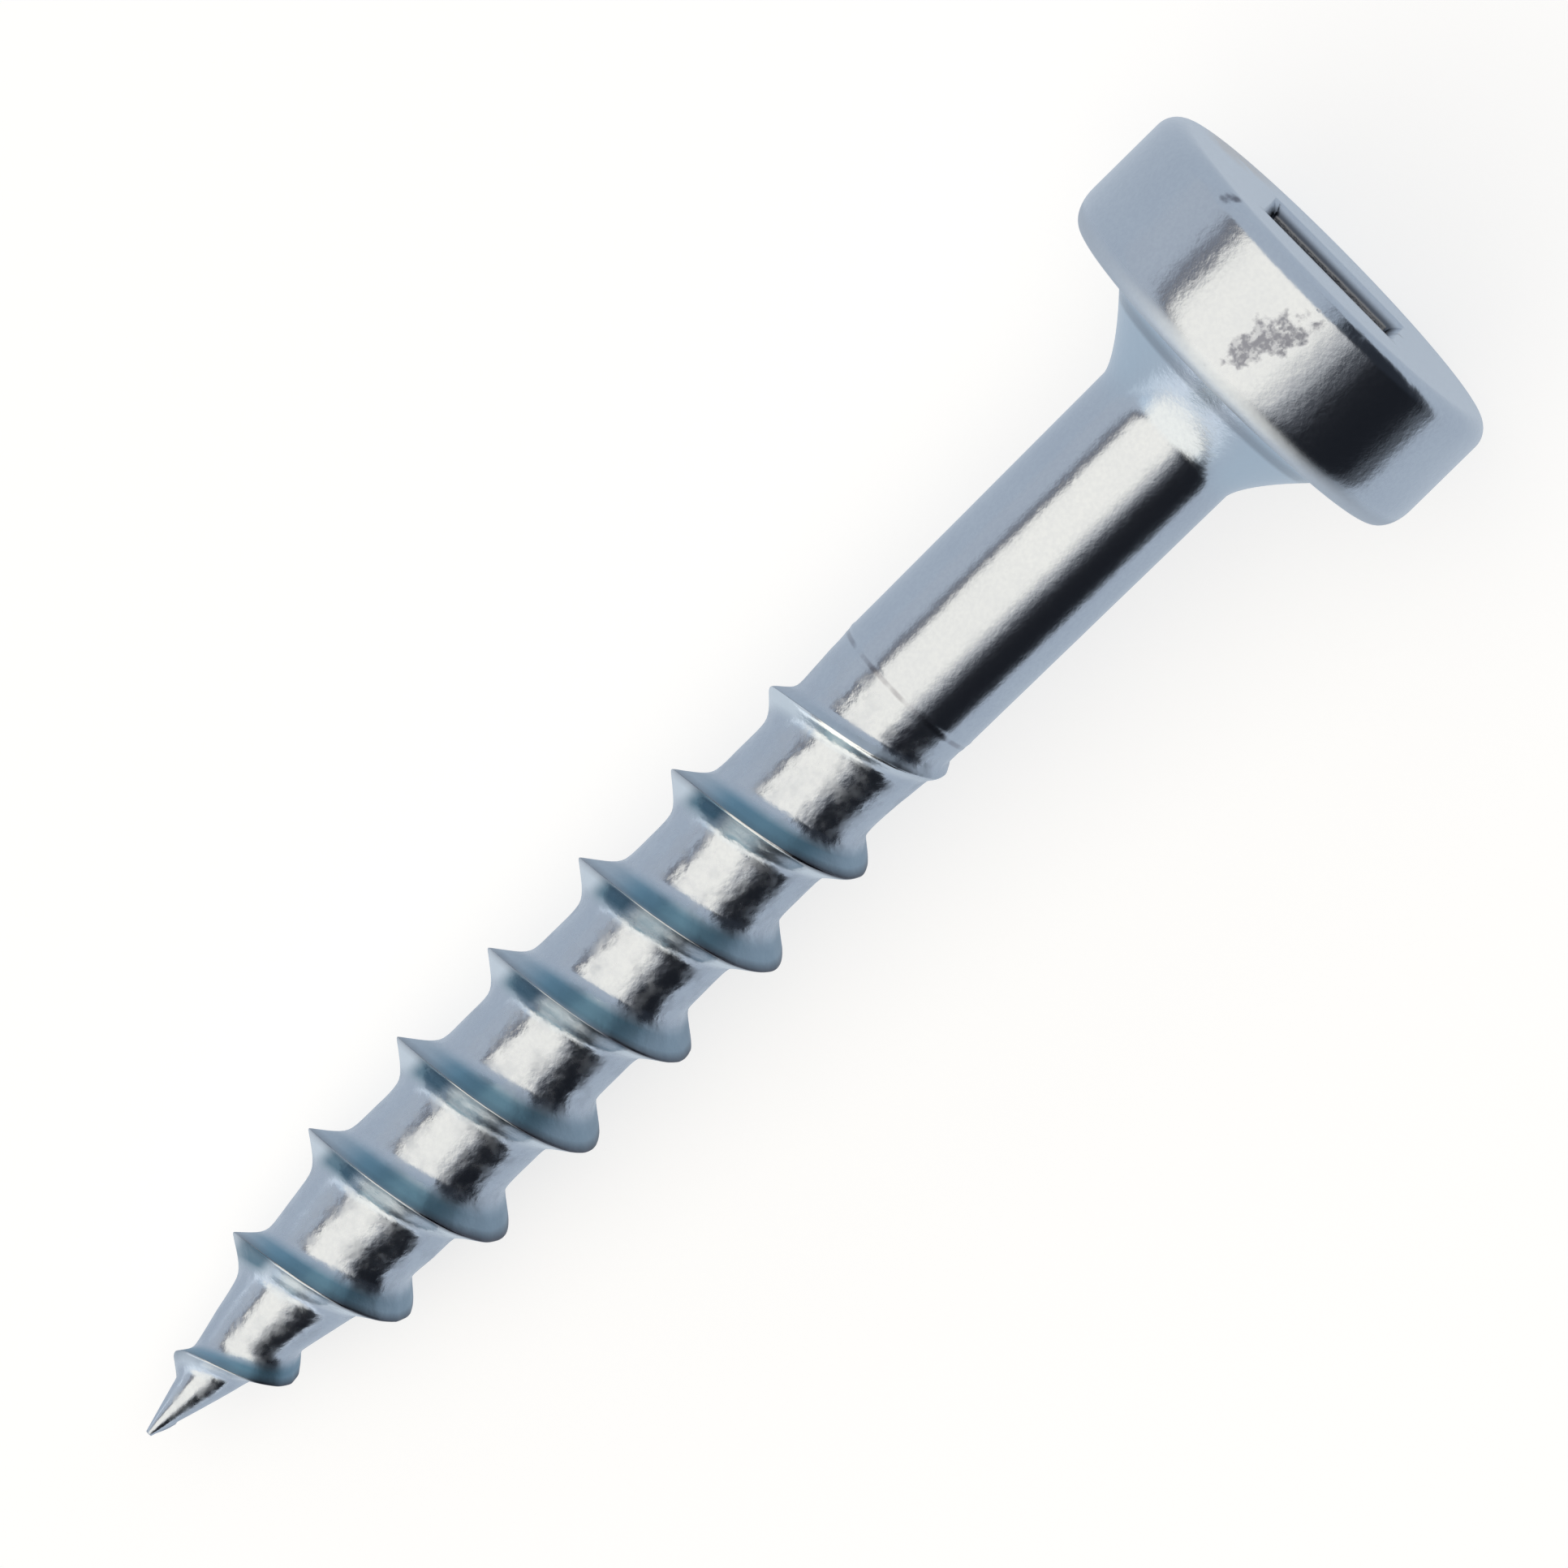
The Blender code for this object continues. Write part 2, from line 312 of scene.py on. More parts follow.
# Floor in metres: its colour and glow for the camera, and as the metal mirrors it near the screw, in a
# painted shadow of the dark card and in a painted pool of light beyond the point
FLOOR_HALF_SIZE = 6.0
FLOOR_SEEN = (0.40, 0.40, 0.40)
FLOOR_SEEN_GLOW = 0.69
FLOOR_MIRRORED = (0.15, 0.16, 0.19)
FLOOR_IN_CARD_SHADOW = (0.10, 0.11, 0.13)
FLOOR_LIT_BEYOND_POINT = (0.45, 0.45, 0.45)
GLOW_SEEN = (1.0, 1.0, 1.0)
GLOW_MIRRORED = (0.80, 0.90, 1.0)
GLOW = 0.60
GLOW_LIT_BEYOND_POINT = 0.30
GLOW_LOSS_IN_CARD_SHADOW = 0.95
CARD_SHADOW_Y = (-0.034, -0.048)
BEYOND_POINT_X = (-0.017, -0.026)
IN_LINE_Y = (0.06, 0.02)

# Light from above, by the angle about world X from straight up towards -Y, in degrees
LIGHT_BY_ANGLE = [
    (-180, (0.62, 0.67, 0.73)),
    (-62, (0.62, 0.67, 0.73)),
    (-54, (0.15, 0.155, 0.19)),
    (-49, (0.15, 0.155, 0.19)),
    (-43, (1.46, 1.36, 1.20)),
    (16, (1.46, 1.36, 1.20)),
    (30, (0.64, 0.63, 0.62)),
    (40, (0.10, 0.105, 0.12)),
    (50, (0.015, 0.017, 0.022)),
    (92, (0.015, 0.017, 0.022)),
    (110, (0.50, 0.55, 0.62)),
    (180, (0.62, 0.67, 0.73)),
]

# The same towards the head's end, beyond the softbox
HEAD_END_BY_ANGLE = [
    (-180, (0.60, 0.66, 0.73)),
    (12, (0.60, 0.66, 0.73)),
    (26, (0.03, 0.035, 0.045)),
    (95, (0.03, 0.035, 0.045)),
    (108, (0.60, 0.66, 0.73)),
    (180, (0.60, 0.66, 0.73)),
]

# The same towards the point's end, low down
POINT_END_BY_ANGLE = [
    (-180, (0.80, 0.93, 1.05)),
    (-48, (0.80, 0.93, 1.05)),
    (-34, (1.46, 1.40, 1.26)),
    (44, (1.46, 1.40, 1.26)),
    (64, (0.80, 0.93, 1.05)),
    (180, (0.80, 0.93, 1.05)),
]
LIGHT_STRENGTH = 2.0
HEAD_END_X = (0.20, 0.42)
POINT_END_X = (-0.74, -0.88)
BACKDROP_SEEN = (1.0, 1.0, 0.98)

# Camera: the screw's middle, direction and scale in the photograph's frame, and how far the view leans
FRAME_PIXELS = 1932
PIXELS_PER_MM = 65.215
CAMERA_DISTANCE = 300.0
CAMERA_LEAN = math.radians(8.2)
AXIS_DIRECTION = (0.713, 0.701)
MIDDLE_PIXEL = (908.0, 1054.0)
SENSOR_WIDTH = 36.0

# Nearest and farthest distances that the camera shows, in metres
CLIP_START = 0.01
CLIP_END = 50.0


def clamped(value):
    """A value held between 0 and 1."""
    return min(max(value, 0.0), 1.0)


def inner_shares(steps):
    """Shares between 0 and 1 in equal steps, without both ends."""
    return [step / steps for step in range(1, steps)]


def arc(steps):
    """Angles from 0 to a quarter turn."""
    return [step / steps * math.pi / 2 for step in range(steps + 1)]


def column_angles():
    """Angles of the skin's columns about the axis."""
    return [column * math.tau / SIDES for column in range(SIDES)]


def drawn_in(radius, depth, length, curve):
    """Draw a radius in to the point along a bulged taper of the given length."""
    share = (OVERALL_LENGTH - depth) / length
    if share >= 1:
        return radius
    return POINT_END_RADIUS + (radius - POINT_END_RADIUS) * (1 - (1 - share) ** curve)


def root_radius(depth):
    """Radius between the thread's ridges."""
    share = min((depth - THREAD_START) / ROOT_RUN_IN_LENGTH, 1.0)
    eased = share * share * (3 - 2 * share)
    straight = NECKED_RADIUS + (ROOT_RADIUS - NECKED_RADIUS) * eased
    return drawn_in(straight, depth, POINT_ROOT_LENGTH, POINT_ROOT_CURVE)


def crest_radius(depth):
    """Radius of the sharp crest."""
    return drawn_in(THREAD_RADIUS, depth, POINT_CREST_LENGTH, POINT_CREST_CURVE)


def grown_radius(depth):
    """Radius that the crest has reached on the first turns, where it grows out of the shank."""
    share = min((depth - THREAD_START) / CREST_RUN_IN_LENGTH, 1.0)
    return NECKED_RADIUS + (THREAD_RADIUS - NECKED_RADIUS) * share ** CREST_RUN_IN_CURVE


def ridge_height(depth):
    """Height of the sharp crest above the root."""
    return min(crest_radius(depth), grown_radius(depth)) - root_radius(depth)


def uneven(along, scale, seed):
    """Smooth unevenness between -1 and 1 along a line."""
    return noise.noise(Vector((along * scale, seed, 0.5 * seed)))


def thread_radius(depth, offset):
    """Radius of the threaded surface at an axial offset from the nearest crest, which is a little uneven."""
    root = root_radius(depth)
    height = ridge_height(depth)
    if height <= 0:
        return root
    turned = (depth - offset) / PITCH
    worn = abs(uneven(turned, *WEAR_NOISE)) + FINE_WEAR_SHARE * abs(uneven(turned, *FINE_WEAR_NOISE))
    height -= min(CREST_WEAR * worn, LARGEST_WEAR_SHARE * height)
    offset += CREST_WOBBLE * uneven(turned, *WOBBLE_NOISE)
    blend = min(ROOT_BLEND, LARGEST_BLEND_SHARE * height)
    ungrown = max(1 - (depth - THREAD_START) / CREST_RUN_IN_LENGTH, 0.0)
    blunt = CREST_ROUND + FIRST_CREST_ROUND * ungrown
    flank = height - math.hypot(offset, blunt) / math.tan(FLANK_HALF_ANGLE)
    return root + blend * math.log1p(math.exp(flank / blend))


def flank_share(rise, depth, offset):
    """Up to 1 on the ridge's flank towards the head, down to -1 on the other one, and 0 on the root."""
    height = max(ridge_height(depth), SMALLEST_HEIGHT)
    share = rise / height
    above_foot = clamped((share - FLANK_FOOT_SHARE) / FLANK_RISE_SHARE)
    below_top = clamped((1.0 - share) / FLANK_TOP_SHARE)
    side = 1.0 if offset < 0 else -1.0
    tint = FLANK_TOP_TINT + (1 - FLANK_TOP_TINT) * below_top
    return side * above_foot * tint * clamped(height / TINTED_HEIGHT) ** 2


def crest_share(depth, offset):
    """1 on the sharp edge of the ridge, fading to 0 close beside it."""
    beside = max(1 - abs(offset) / CREST_LINE_WIDTH, 0.0)
    return beside * clamped(ridge_height(depth) / TINTED_HEIGHT)


def row_offsets():
    """Axial offsets of the surface rows from a crest, over one pitch towards the point."""
    half = PITCH / 2
    foot = (THREAD_RADIUS - ROOT_RADIUS) * math.tan(FLANK_HALF_ANGLE) + ROOT_BLEND
    one_side = [foot * (step / FLANK_ROWS) ** FLANK_ROW_GROWTH for step in range(1, FLANK_ROWS + 1)]
    one_side += [foot + (half - foot) * share for share in inner_shares(LAND_ROWS)]
    other_side = [-offset for offset in reversed(one_side)]
    return [0.0] + one_side + [half] + other_side


def turned_outline():
    """Depth and radius from the edge of the head's flat top to just before the shank's end."""
    points = []
    for turn in arc(TOP_EDGE_STEPS):
        depth = TOP_EDGE_RADIUS * (1 - math.cos(turn))
        points.append((depth, HEAD_RADIUS - TOP_EDGE_RADIUS * (1 - math.sin(turn))))
    side_end = HEAD_HEIGHT - UNDER_EDGE_HEIGHT
    for share in inner_shares(HEAD_SIDE_STEPS):
        points.append((TOP_EDGE_RADIUS + (side_end - TOP_EDGE_RADIUS) * share, HEAD_RADIUS))
    for turn in arc(UNDER_EDGE_STEPS):
        depth = HEAD_HEIGHT - UNDER_EDGE_HEIGHT * (1 - math.sin(turn))
        points.append((depth, HEAD_RADIUS - UNDER_EDGE_WIDTH * (1 - math.cos(turn))))
    flat_radius = HEAD_RADIUS - UNDER_EDGE_WIDTH
    for share in inner_shares(UNDERSIDE_STEPS):
        points.append((HEAD_HEIGHT, flat_radius + (NECK_TOP_RADIUS - flat_radius) * share))
    for step in range(NECK_STEPS + 1):
        height = 1 - step / NECK_STEPS
        flare = (NECK_TOP_RADIUS - SHANK_RADIUS) * height ** NECK_CURVE
        points.append((NECK_END - NECK_LENGTH * height, SHANK_RADIUS + flare))
    for share in inner_shares(SHANK_STEPS):
        radius = SHANK_RADIUS + (SHANK_END_RADIUS - SHANK_RADIUS) * share
        points.append((NECK_END + SHANK_LENGTH * share, radius))
    return points


def bead_share(angle):
    """How strongly the bead and groove at the shank's end show at an angle, which varies round the shank."""
    across = BEAD_NOISE_RADIUS * math.cos(angle)
    spot = Vector((across, BEAD_NOISE_RADIUS * math.sin(angle), BEAD_NOISE_HEIGHT))
    return 1 - BEAD_UNEVENNESS * (0.5 + noise.noise(spot))


def square_reach(angle, half, corner):
    """Distance from the middle to the edge of a square with rounded corners, along an angle."""
    along = abs(math.cos(angle))
    across = abs(math.sin(angle))
    if along < across:
        along, across = across, along
    straight = half / along
    if straight * across <= half - corner:
        return straight
    centre = half - corner
    middle = centre * (along + across)
    return middle + math.sqrt(max(middle * middle - 2 * centre * centre + corner * corner, 0.0))


def recess_rings():
    """Depth, half width and corner radius of the rings down the square drive recess, from its mouth."""
    half = RECESS_WIDTH / 2
    rings = [(depth, half + outside, corner) for depth, outside, corner in RECESS_EDGES]
    wall_top = rings[-1][0]
    for step in range(1, RECESS_WALL_STEPS + 1):
        depth = wall_top + (RECESS_WALL_DEPTH - wall_top) * step / RECESS_WALL_STEPS
        rings.append((depth, half - (depth - RECESS_CHAMFER) * math.tan(RECESS_DRAFT), RECESS_CORNER))
    bottom = rings[-1][1]
    for share in inner_shares(RECESS_POINT_STEPS):
        depth = RECESS_WALL_DEPTH + RECESS_POINT_DEPTH * share
        rings.append((depth, bottom * (1 - share), RECESS_CORNER * (1 - share)))
    return rings


class Skin:
    """Vertices and faces of the screw's skin, in the screw's own frame."""

    def __init__(self):
        self.places = []
        self.flanks = []
        self.crests = []
        self.faces = []
        self.shared = {}

    def vertex(self, x, y, z, flank=0.0, crest=0.0):
        """Add a vertex and return its number."""
        self.places.append((x, y, z))
        self.flanks.append(flank)
        self.crests.append(crest)
        return len(self.places) - 1

    def turned_vertex(self, angle, depth, radius, flank=0.0, crest=0.0):
        """Add a vertex at an angle about the axis."""
        return self.vertex(radius * math.cos(angle), radius * math.sin(angle), -depth, flank, crest)

    def ring(self, name, depth, radius):
        """Return a full ring of vertices, made on first use of its name."""
        if name not in self.shared:
            self.shared[name] = [self.turned_vertex(angle, depth, radius) for angle in column_angles()]
        return self.shared[name]

    def face(self, corners):
        """Add a face between its different corners, or none where they fall together."""
        different = list(dict.fromkeys(corners))
        if len(different) > 2:
            self.faces.append(different)

    def join(self, upper, lower):
        """Join two rings with faces."""
        for column in range(len(upper)):
            following = (column + 1) % len(upper)
            self.face([upper[column], lower[column], lower[following], upper[following]])


def add_head_top(skin, rim):
    """Close the head's top with its flat ring and the drive recess."""
    rings = recess_rings()
    mouth_half, mouth_corner = rings[0][1:]
    rim_radius = HEAD_RADIUS - TOP_EDGE_RADIUS
    above = rim
    for share in inner_shares(HEAD_TOP_STEPS):
        ring = []
        for angle in column_angles():
            reach = square_reach(angle, mouth_half, mouth_corner)
            ring.append(skin.turned_vertex(angle, 0.0, rim_radius + (reach - rim_radius) * share))
        skin.join(ring, above)
        above = ring
    for depth, half, corner in rings:
        ring = []
        for angle in column_angles():
            ring.append(skin.turned_vertex(angle, depth, square_reach(angle, half, corner)))
        skin.join(ring, above)
        above = ring
    middle = skin.vertex(0.0, 0.0, -RECESS_WALL_DEPTH - RECESS_POINT_DEPTH)
    for column in range(SIDES):
        skin.face([middle, above[column], above[(column + 1) % SIDES]])


def add_turned_part(skin):
    """Spin the head, neck and shank."""
    rings = []
    for number, (depth, radius) in enumerate(turned_outline()):
        rings.append(skin.ring(number, depth, radius))
    for before_end, rise in SHANK_END_BEAD:
        ring = []
        for angle in column_angles():
            radius = SHANK_END_RADIUS + rise * bead_share(angle)
            ring.append(skin.turned_vertex(angle, SHANK_END - before_end, radius))
        rings.append(ring)
    rings.append(skin.ring("thread_start", THREAD_START, NECKED_RADIUS))
    for upper, lower in zip(rings, rings[1:]):
        skin.join(upper, lower)
    add_head_top(skin, rings[0])


def add_threaded_part(skin):
    """Wind the threaded surface as rows that follow the helix, from the shank's end to the point."""
    offsets = row_offsets()
    rows_per_turn = len(offsets)
    turns = math.ceil((OVERALL_LENGTH - FIRST_CREST_DEPTH) / PITCH) + 1
    start_ring = skin.ring("thread_start", THREAD_START, NECKED_RADIUS)
    end_ring = skin.ring("end", OVERALL_LENGTH, POINT_END_RADIUS)
    angles = column_angles()
    made = {}

    def helix_vertex(row, column):
        """Return the number of the vertex where a row crosses a column, made on first use."""
        if column == SIDES:
            return helix_vertex(row - rows_per_turn, 0)
        if (row, column) in made:
            return made[(row, column)]
        turn, station = divmod(row, rows_per_turn)
        offset = offsets[station]
        along = turn * PITCH + offset % PITCH
        depth = FIRST_CREST_DEPTH + along - PITCH * column / SIDES
        if depth < THREAD_START + SMALLEST_ROW_STEP:
            number = start_ring[column]
        elif depth > OVERALL_LENGTH - SMALLEST_ROW_STEP:
            number = end_ring[column]
        else:
            radius = thread_radius(depth, offset)
            flank = flank_share(radius - root_radius(depth), depth, offset)
            number = skin.turned_vertex(angles[column], depth, radius, flank, crest_share(depth, offset))
        made[(row, column)] = number
        return number

    for row in range(-rows_per_turn, turns * rows_per_turn):
        for column in range(SIDES):
            here = helix_vertex(row, column)
            below = helix_vertex(row + 1, column)
            below_next = helix_vertex(row + 1, column + 1)
            here_next = helix_vertex(row, column + 1)
            skin.face([here, below, below_next, here_next])
    skin.face(end_ring)


def screw_matrix():
    """Place of the screw's own frame, from the record's mount on the head's underside."""
    mount = next(m for m in frame["record"]["mounts"] if m["name"] == "head_underside")
    towards_head = -Vector(mount["axis"]).normalized()
    sideways = Vector((0.0, 1.0, 0.0))
    floorwards = sideways.cross(towards_head)
    outwards = floorwards * math.cos(MOUNT_ANGLE) + sideways * math.sin(MOUNT_ANGLE)
    top = Vector(mount["pos_m"]) + (towards_head * HEAD_HEIGHT - outwards * MOUNT_RADIUS) * MM
    matrix = Matrix.Identity(4)
    for row in range(3):
        matrix[row][0] = floorwards[row] * MM
        matrix[row][1] = sideways[row] * MM
        matrix[row][2] = towards_head[row] * MM
        matrix[row][3] = top[row]
    return matrix


def press(place, scale):
    """How far the waves press a place inwards, as a share of their size."""
    return MEAN_PRESS + noise.noise(Vector(place) * scale)


def dent(place, centre, size, deep):
    """How far a small round dent presses a place in."""
    away = sum((a - b) ** 2 for a, b in zip(place, centre))
    return deep * math.exp(-away / (size * size))


def worn_place(place):
    """Move a place of the skin by the small waves and dents of a real screw, inwards only."""
    x, y, z = place
    radius = math.hypot(x, y)
    along = z * (1 - 2 * SKIN_INSET / OVERALL_LENGTH) - SKIN_INSET
    if radius < NEAR_AXIS:
        return (x, y, along)
    inwards = 0.0
    if -z > THREAD_START:
        size = ROOT_WAVES * min((OVERALL_LENGTH + z) / CALM_POINT_LENGTH, 1.0)
        inwards = size * press(place, ROOT_WAVE_SCALE)
        inwards += ROOT_RIPPLE_SHARE * size * press(place, ROOT_RIPPLE_SCALE)
    elif z < 0:
        inwards = SKIN_WAVES * press(place, SKIN_WAVE_SCALE)
    if radius > DENTED_RADIUS:
        for centre, size, deep in DENTS:
            inwards += dent(place, centre, size, deep)
    factor = 1 - (SKIN_INSET + max(inwards, 0.0)) / radius
    return (x * factor, y * factor, along)


def build_screw(matrix):
    """Make the dressed screw's object, placed in the CAD's frame."""
    skin = Skin()
    add_turned_part(skin)
    add_threaded_part(skin)
    places = np.array([worn_place(place) for place in skin.places])
    used = np.zeros(len(places), bool)
    for face in skin.faces:
        used[face] = True
    numbers = np.cumsum(used) - 1
    world = places[used] @ np.array(matrix.to_3x3()).T + np.array(matrix.translation)
    faces = [[int(numbers[corner]) for corner in face] for face in skin.faces]
    mesh = bpy.data.meshes.new("zinc_screw")
    mesh.from_pydata(world.tolist(), [], faces)
    own_place = mesh.attributes.new("screw_place", "FLOAT_VECTOR", "POINT")
    own_place.data.foreach_set("vector", places[used].ravel())
    for name, values in (("flank", skin.flanks), ("crest", skin.crests)):
        attribute = mesh.attributes.new(name, "FLOAT", "POINT")
        attribute.data.foreach_set("value", np.array(values)[used])
    shape = bmesh.new()
    shape.from_mesh(mesh)
    bmesh.ops.recalc_face_normals(shape, faces=shape.faces)
    shape.to_mesh(mesh)
    shape.free()
    mesh.shade_smooth()
    screw = bpy.data.objects.new("zinc_screw", mesh)
    bpy.context.scene.collection.objects.link(screw)
    return screw


class Nodes:
    """Adds shader nodes to a tree. A value is another node's output, a number or a colour."""

    def __init__(self, tree):
        self.tree = tree

    def fill(self, socket, value):
        """Link a socket to an output, or set it to a number or colour."""
        if isinstance(value, bpy.types.NodeSocket):
            self.tree.links.new(value, socket)
        elif isinstance(value, tuple):
            socket.default_value = (*value, 1.0)
        else:
            socket.default_value = value

    def math(self, operation, *values):
        """Work a value out."""
        node = self.tree.nodes.new("ShaderNodeMath")
        node.operation = operation
        for number, value in enumerate(values):
            self.fill(node.inputs[number], value)
        return node.outputs[0]

    def product(self, *factors):
        """Multiply values."""
        result = factors[0]
        for factor in factors[1:]:
            result = self.math("MULTIPLY", result, factor)
        return result

    def at_least(self, mask, least):
        """Raise a mask so that it runs from a least share to 1."""
        return self.math("MULTIPLY_ADD", mask, 1.0 - least, least)

    def rise(self, value, limits):
        """Change smoothly from 0 at the first limit to 1 at the second one."""
        node = self.tree.nodes.new("ShaderNodeMapRange")
        node.interpolation_type = "SMOOTHSTEP"
        self.fill(node.inputs["Value"], value)
        node.inputs["From Min"].default_value = limits[0]
        node.inputs["From Max"].default_value = limits[1]
        return node.outputs["Result"]

    def mix(self, factor, first, second):
        """Mix two colours."""
        node = self.tree.nodes.new("ShaderNodeMix")
        node.data_type = "RGBA"
        self.fill(node.inputs["Factor"], factor)
        self.fill(node.inputs[6], first)
        self.fill(node.inputs[7], second)
        return node.outputs[2]

    def ramp(self, factor, stops):
        """Look a colour up between stops of a position and a colour."""
        node = self.tree.nodes.new("ShaderNodeValToRGB")
        elements = node.color_ramp.elements
        while len(elements) > 1:
            elements.remove(elements[-1])
        for number, (position, colour) in enumerate(stops):
            element = elements[0] if number == 0 else elements.new(position)
            element.position = position
            element.color = (*colour, 1.0)
        self.fill(node.inputs[0], factor)
        return node.outputs[0]

    def coordinates(self, kind):
        """Give the three numbers of a texture coordinate."""
        source = self.tree.nodes.new("ShaderNodeTexCoord")
        return self.split(source.outputs[kind])

    def split(self, vector):
        """Split a vector into its three numbers."""
        node = self.tree.nodes.new("ShaderNodeSeparateXYZ")
        self.fill(node.inputs[0], vector)
        return node.outputs


class ZincNodes(Nodes):
    """Nodes that know the place on the screw, in its own frame and millimetres, and the skin's two shares."""

    def __init__(self, tree):
        super().__init__(tree)
        self.place = self.attribute("screw_place").outputs["Vector"]
        self.flank = self.attribute("flank").outputs["Fac"]
        self.crest = self.attribute("crest").outputs["Fac"]
        self.x, self.y, self.z = self.split(self.place)
        squared = self.math("ADD", self.math("POWER", self.x, 2.0), self.math("POWER", self.y, 2.0))
        self.radius = self.math("SQRT", squared)
        self.fine = self.noise(*FINE_NOISE)
        self.head_side = self.math("MAXIMUM", self.flank, 0.0)

    def attribute(self, name):
        """Read an attribute of the skin."""
        node = self.tree.nodes.new("ShaderNodeAttribute")
        node.attribute_name = name
        return node

    def noise(self, scale, detail, roughness):
        """Give the value of a noise at the place."""
        node = self.tree.nodes.new("ShaderNodeTexNoise")
        self.fill(node.inputs["Vector"], self.place)
        node.inputs["Scale"].default_value = scale
        node.inputs["Detail"].default_value = detail
        node.inputs["Roughness"].default_value = roughness
        return node.outputs["Fac"]


def dull_and_reflection_mask(zinc):
    """A mask of the flaky, dulled patch on the upper side of the head, where a dark reflection of the camera
    is painted.
    """
    aside = zinc.math("ADD", zinc.y, -DULL_PLACE[0])
    along = zinc.math("ADD", zinc.z, -DULL_PLACE[1])
    turn_along, turn_aside = DULL_DIRECTION
    length = zinc.math("MULTIPLY_ADD", aside, turn_aside, zinc.product(along, turn_along))
    width = zinc.math("MULTIPLY_ADD", aside, turn_along, zinc.product(along, -turn_aside))
    shares = []
    for distance, half_size in zip((length, width), DULL_SIZE):
        shares.append(zinc.math("POWER", zinc.math("DIVIDE", distance, half_size), 2.0))
    away = zinc.math("ADD", *shares)
    flakes = zinc.math("MULTIPLY_ADD", away, -DULL_FADING, zinc.noise(*FLAKE_NOISE))
    speckle = zinc.rise(zinc.noise(*SPECKLE_NOISE), SPECKLE_NOISE_LIMITS)
    return zinc.product(
        zinc.rise(flakes, FLAKE_LIMITS),
        zinc.rise(zinc.x, DULL_UPPER_X),
        zinc.at_least(speckle, SPECKLE_LEAST),
    )


def rim_stain(zinc):
    """A mask of the faint warm stain on the head's top."""
    return zinc.product(
        zinc.rise(zinc.z, STAIN_Z),
        zinc.rise(zinc.x, STAIN_X),
        zinc.rise(zinc.radius, STAIN_RADIUS),
        zinc.rise(zinc.y, STAIN_FROM_Y),
        zinc.rise(zinc.y, STAIN_TO_Y),
        zinc.rise(zinc.noise(*STAIN_NOISE), STAIN_NOISE_LIMITS),
    )


def near_spot(zinc, spot, size):
    """A mask about a spot in the screw's own frame, with an uneven outline."""
    distance = zinc.tree.nodes.new("ShaderNodeVectorMath")
    distance.operation = "DISTANCE"
    zinc.fill(distance.inputs[0], zinc.place)
    distance.inputs[1].default_value = spot
    uneven_edge = zinc.math("SUBTRACT", zinc.noise(*NICK_NOISE), 0.5)
    reach = zinc.math("MULTIPLY_ADD", uneven_edge, NICK_UNEVENNESS * size, distance.outputs["Value"])
    return zinc.rise(reach, (size, NICK_FULL_SHARE * size))


def shank_end_shade_line(zinc):
    """A mask of the fine broken line of painted shade in the groove at the shank's end."""
    away = zinc.math("ABSOLUTE", zinc.math("ADD", zinc.z, LINE_DEPTH))
    broken = zinc.rise(zinc.noise(*LINE_NOISE), LINE_NOISE_LIMITS)
    return zinc.product(zinc.rise(away, LINE_WIDTH), broken)


def neck_sides(zinc):
    """A mask of the neck's two sides, where a bluer reflection is painted."""
    aside = zinc.math("ABSOLUTE", zinc.y)
    return zinc.product(
        zinc.rise(zinc.z, NECK_TOP_Z),
        zinc.rise(zinc.z, NECK_END_Z),
        zinc.rise(aside, NECK_SIDE_Y),
    )


def under_edge(zinc):
    """A mask of the rounded edge under the head."""
    return zinc.product(zinc.rise(zinc.radius, UNDER_EDGE_RADIUS), zinc.rise(zinc.z, UNDER_EDGE_Z))


def recess_shade(zinc):
    """A mask of the painted shade on the walls and floor of the drive recess, strongest near its mouth."""
    near_mouth = zinc.rise(zinc.z, RECESS_DARKEST_Z)
    return zinc.product(
        zinc.rise(zinc.radius, RECESS_RADIUS),
        zinc.rise(zinc.z, RECESS_MOUTH_Z),
        zinc.rise(zinc.z, RECESS_FLOOR_Z),
        zinc.at_least(near_mouth, RECESS_LEAST),
    )


def plain_colour(zinc):
    """The zinc's own colour, in broad tones with fine mottles."""
    tones = zinc.mix(zinc.noise(*BROAD_NOISE), *ZINC_TONES)
    mottles = zinc.rise(zinc.fine, MOTTLE_NOISE_LIMITS)
    return zinc.mix(zinc.product(mottles, MOTTLE_SHARE), tones, MOTTLE_COLOUR)


